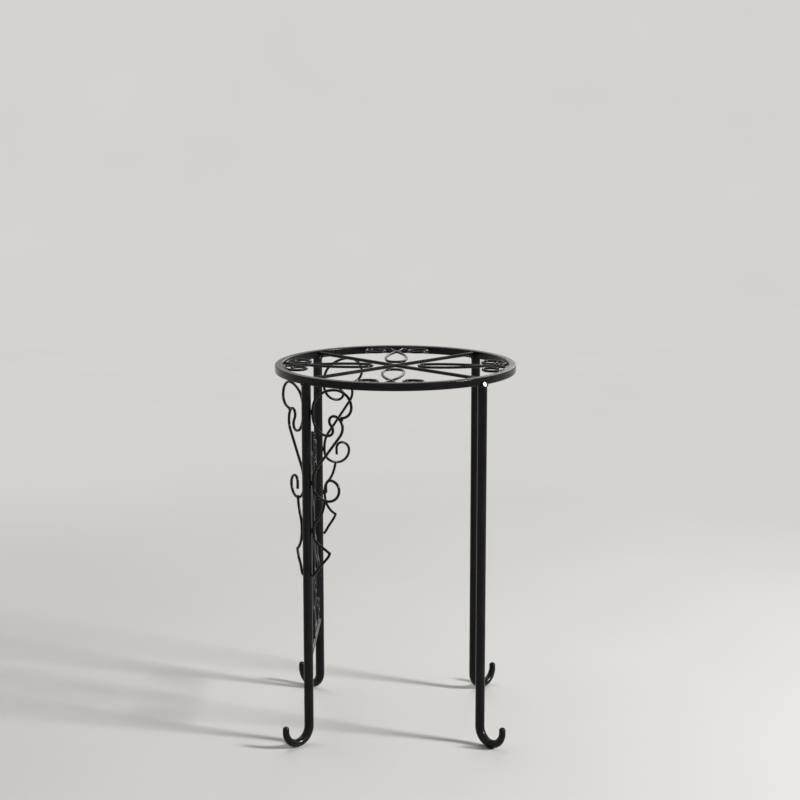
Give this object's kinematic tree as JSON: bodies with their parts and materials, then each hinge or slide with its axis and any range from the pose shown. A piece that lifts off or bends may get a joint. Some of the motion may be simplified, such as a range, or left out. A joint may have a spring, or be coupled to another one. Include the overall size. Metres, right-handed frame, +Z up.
{
  "type": "plant stand",
  "caption": "Tall round wrought-iron plant rack: a ring with a scrollwork tray on bent-bar legs with hooked feet, scroll wings under the ring and a scroll panel on one side.",
  "frame": {"origin": "on the floor under the middle of the ring", "axes": "+Z up, front towards -Y, +X to the right as seen from the front"},
  "size_m": [0.31, 0.31, 0.476],
  "materials": {
    "black_powder_coat": "black satin powder coat on welded steel"
  },
  "bodies": {
    "root": {"ring": "black_powder_coat", "cross_rod_long": "black_powder_coat", "cross_rod_front_right": "black_powder_coat", "cross_rod_rear_left": "black_powder_coat", "tray_scroll_front": "black_powder_coat", "tray_scroll_right": "black_powder_coat", "tray_scroll_rear": "black_powder_coat", "tray_scroll_left": "black_powder_coat", "leg_front_left": "black_powder_coat", "leg_front_right": "black_powder_coat", "leg_rear_left": "black_powder_coat", "leg_rear_right": "black_powder_coat", "leg_welds": "black_powder_coat", "wing_scroll_front": "black_powder_coat", "wing_scroll_left": "black_powder_coat", "wing_scroll_rear": "black_powder_coat", "wing_tail_front": "black_powder_coat", "wing_tail_left": "black_powder_coat", "wing_tail_rear": "black_powder_coat", "wing_welds": "black_powder_coat", "side_rail": "black_powder_coat", "side_stem": "black_powder_coat", "side_scroll_front": "black_powder_coat", "side_scroll_rear": "black_powder_coat", "side_heart_front": "black_powder_coat", "side_heart_rear": "black_powder_coat", "side_welds": "black_powder_coat"}
  },
  "joints": []
}
